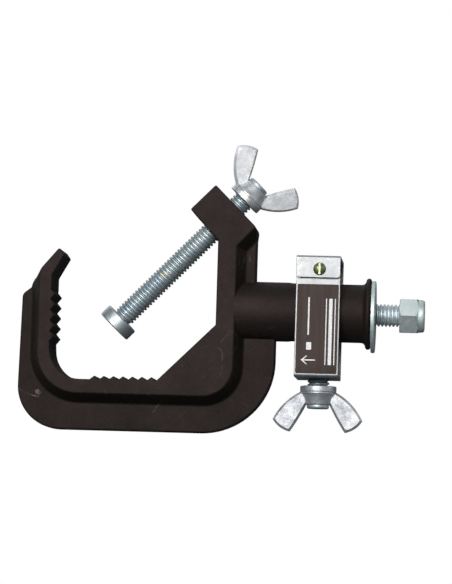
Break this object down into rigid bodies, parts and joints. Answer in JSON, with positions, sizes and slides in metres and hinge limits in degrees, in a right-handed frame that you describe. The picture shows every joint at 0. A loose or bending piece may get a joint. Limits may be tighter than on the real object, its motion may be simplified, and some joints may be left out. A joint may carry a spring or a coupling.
{
  "type": "pipe clamp",
  "caption": "Cast hook clamp that hangs a stage lamp from a pipe: wing screw closes a toothed jaw, and a lockable swivel stem ends in a threaded stud with washer and nut.",
  "frame": {"origin": "centre of a 50 mm pipe seated against both rows of teeth, halfway through the jaw's depth", "axes": "+X along the swivel stem towards the stud's free end, +Y along the pipe, away from the label side, +Z across the jaw from its toothed floor towards the clamp screw's side"},
  "size_m": [0.2187, 0.044, 0.1563],
  "materials": {
    "cast_paint": "matt brown-black paint on a rough casting",
    "screw_zinc": "blue-passivated zinc plate on rolled thread",
    "stud_zinc": "zinc plate on rolled thread",
    "wing_zinc": "zinc plate on a pressed and tumbled surface",
    "pad_zinc": "zinc plate on turned steel",
    "strap_zinc": "bright zinc plate on rolled strip",
    "plain_zinc": "dull zinc plate",
    "yellow_zinc": "yellow-passivated zinc plate",
    "steel": "turned, oiled",
    "spring_steel": "blackened",
    "bronze": "sintered, oiled",
    "brass": "turned",
    "black_nylon": "moulded",
    "white_nylon": "moulded",
    "label": "dark printed film"
  },
  "bodies": {
    "root": {"hook_casting": "cast_paint", "lock_strap": "strap_zinc", "strap_label": "label", "strap_screw": "yellow_zinc", "saddle_block": "black_nylon", "captive_nut": "plain_zinc", "inner_bush": "bronze", "outer_bush": "bronze", "thrust_washer": "plain_zinc", "bore_circlip": "spring_steel"},
    "clamp_pad": {"pressure_pad": "pad_zinc", "pad_snap_ring": "spring_steel"},
    "clamp_rod": {"clamp_screw": "screw_zinc", "clamp_wing_nut": "wing_zinc"},
    "brake": {"brake_pad": "brass"},
    "lock_rod": {"lock_screw": "screw_zinc", "lock_wing_nut": "wing_zinc"},
    "swivel": {"spindle": "steel", "mounting_stud": "stud_zinc", "stud_pin": "spring_steel"},
    "washer": {"plate_washer": "plain_zinc"},
    "nut_travel": {"lock_nut_insert": "white_nylon"},
    "nut": {"lock_nut": "plain_zinc"}
  },
  "joints": [
    {"name": "clamp_travel", "type": "slide", "parent": "root", "child": "clamp_pad", "axis": [0.6984, 0, 0.7157], "range_m": [-0.005, 0.062]},
    {"name": "clamp_turn", "type": "hinge", "parent": "clamp_pad", "child": "clamp_rod", "pos_m": [0.00582, 0, 0.00221], "axis": [0.6984, 0, 0.7157], "range_deg": [-900.01, 11160.01]},
    {"name": "lock_travel", "type": "slide", "parent": "root", "child": "brake", "axis": [0, 0, -1], "range_m": [0, 0.012]},
    {"name": "lock_turn", "type": "hinge", "parent": "brake", "child": "lock_rod", "pos_m": [0.1177, 0, -0.0271], "axis": [0, 0, -1], "range_deg": [0, 2160.01]},
    {"name": "stem_swivel", "type": "hinge", "parent": "root", "child": "swivel", "pos_m": [0.1221, 0, 0.012], "axis": [1, 0, 0], "continuous": true},
    {"name": "washer_slide", "type": "slide", "parent": "root", "child": "washer", "axis": [1, 0, 0], "range_m": [0, 0.003]},
    {"name": "nut_travel_slide", "type": "slide", "parent": "swivel", "child": "nut_travel", "axis": [1, 0, 0], "range_m": [-0.009, 0.01]},
    {"name": "nut_turn", "type": "hinge", "parent": "nut_travel", "child": "nut", "pos_m": [0.1621, 0, 0.012], "axis": [1, 0, 0], "range_deg": [-1620.01, 1800.01]}
  ],
  "couplings": [
    {"joint": "clamp_turn", "follows": "clamp_travel", "rad_per_m": 3141.6},
    {"joint": "lock_turn", "follows": "lock_travel", "rad_per_m": 3141.6},
    {"joint": "nut_turn", "follows": "nut_travel_slide", "rad_per_m": 3141.6}
  ]
}
